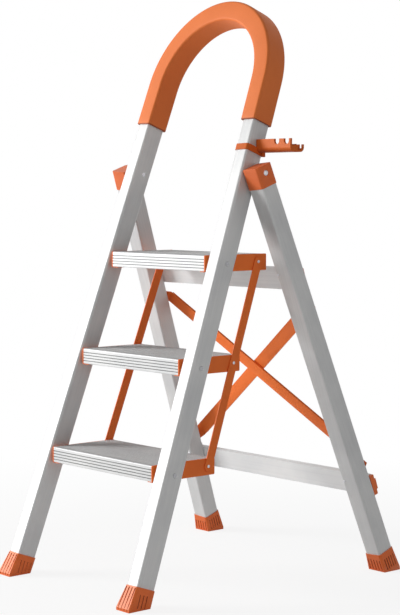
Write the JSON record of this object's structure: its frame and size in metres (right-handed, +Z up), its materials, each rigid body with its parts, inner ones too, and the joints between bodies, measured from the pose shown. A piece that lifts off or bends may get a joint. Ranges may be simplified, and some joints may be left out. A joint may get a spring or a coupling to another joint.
{
  "type": "folding step ladder",
  "caption": "Folding aluminium step ladder with a bent handrail in a soft sleeve, a rear frame with crossed braces, linked treads, flared plastic feet and a clip-on tool rack.",
  "frame": {"origin": "on the floor, midway between the front and rear feet, on the ladder's middle plane", "axes": "+X to the right of someone who faces the treads, +Y to the back, +Z up"},
  "size_m": [0.6336, 0.6938, 1.2514],
  "materials": {
    "anodised_aluminium": "satin anodised, faint lengthwise grain",
    "orange_paint": "smooth powder coat",
    "orange_plastic": "fine moulded grain",
    "orange_sleeve": "matt soft foam sleeve",
    "zinc_steel": "zinc plated",
    "dark_steel": "blackened",
    "black_nylon": "moulded nylon"
  },
  "bodies": {
    "front_frame": {"left_rail": "anodised_aluminium", "right_rail": "anodised_aluminium", "handle_bend": "anodised_aluminium", "handle_grip": "orange_sleeve", "left_front_foot": "orange_plastic", "right_front_foot": "orange_plastic", "tread_pivot_bolts": "zinc_steel", "tread_pivot_nuts": "zinc_steel", "tread_pivot_spacers": "black_nylon", "hinge_pins": "zinc_steel", "hinge_washers": "black_nylon", "tool_rack": "orange_plastic", "rack_clamp_screw": "orange_plastic"},
    "rear_frame": {"left_leg": "anodised_aluminium", "right_leg": "anodised_aluminium", "left_rear_foot": "orange_plastic", "right_rear_foot": "orange_plastic", "left_hinge_cap": "orange_plastic", "right_hinge_cap": "orange_plastic", "upper_crossbar": "anodised_aluminium", "lower_crossbar": "anodised_aluminium", "upper_crossbar_caps": "orange_plastic", "lower_crossbar_caps": "orange_plastic", "crossbar_rivets": "zinc_steel", "front_brace_bar": "orange_paint", "rear_brace_bar": "orange_paint", "brace_centre_rivet": "orange_paint", "brace_bolts": "dark_steel"},
    "top_step": {"top_tread": "anodised_aluminium", "top_tread_hooks": "anodised_aluminium", "top_side_plates": "orange_paint", "top_plate_rivets": "zinc_steel", "top_link_pins": "zinc_steel"},
    "middle_step": {"middle_tread": "anodised_aluminium", "middle_side_plates": "orange_paint", "middle_plate_rivets": "zinc_steel", "middle_link_pins": "zinc_steel"},
    "bottom_step": {"bottom_tread": "anodised_aluminium", "bottom_side_plates": "orange_paint", "bottom_plate_rivets": "zinc_steel", "bottom_link_pins": "zinc_steel"},
    "left_link": {"left_link_bar": "orange_paint"},
    "right_link": {"right_link_bar": "orange_paint"}
  },
  "joints": [
    {"name": "rear_fold", "type": "hinge", "parent": "front_frame", "child": "rear_frame", "pos_m": [0, 0.00679, 0.871], "axis": [-1, 0, 0], "range_deg": [0, 30]},
    {"name": "top_step_fold", "type": "hinge", "parent": "front_frame", "child": "top_step", "pos_m": [0, -0.06323, 0.683], "axis": [1, 0, 0], "range_deg": [0, 60]},
    {"name": "middle_step_fold", "type": "hinge", "parent": "front_frame", "child": "middle_step", "pos_m": [0, -0.14039, 0.471], "axis": [1, 0, 0], "range_deg": [0, 60]},
    {"name": "bottom_step_fold", "type": "hinge", "parent": "front_frame", "child": "bottom_step", "pos_m": [0, -0.21755, 0.259], "axis": [1, 0, 0], "range_deg": [0, 60]},
    {"name": "left_link_swing", "type": "hinge", "parent": "top_step", "child": "left_link", "pos_m": [0, 0.06379, 0.683], "axis": [1, 0, 0], "range_deg": [-60, 0]},
    {"name": "right_link_swing", "type": "hinge", "parent": "top_step", "child": "right_link", "pos_m": [0, 0.06379, 0.683], "axis": [1, 0, 0], "range_deg": [-60, 0]}
  ],
  "couplings": [
    {"joint": "top_step_fold", "follows": "rear_fold", "ratio": 2},
    {"joint": "middle_step_fold", "follows": "rear_fold", "ratio": 2},
    {"joint": "bottom_step_fold", "follows": "rear_fold", "ratio": 2},
    {"joint": "left_link_swing", "follows": "rear_fold", "ratio": -2},
    {"joint": "right_link_swing", "follows": "rear_fold", "ratio": -2}
  ]
}
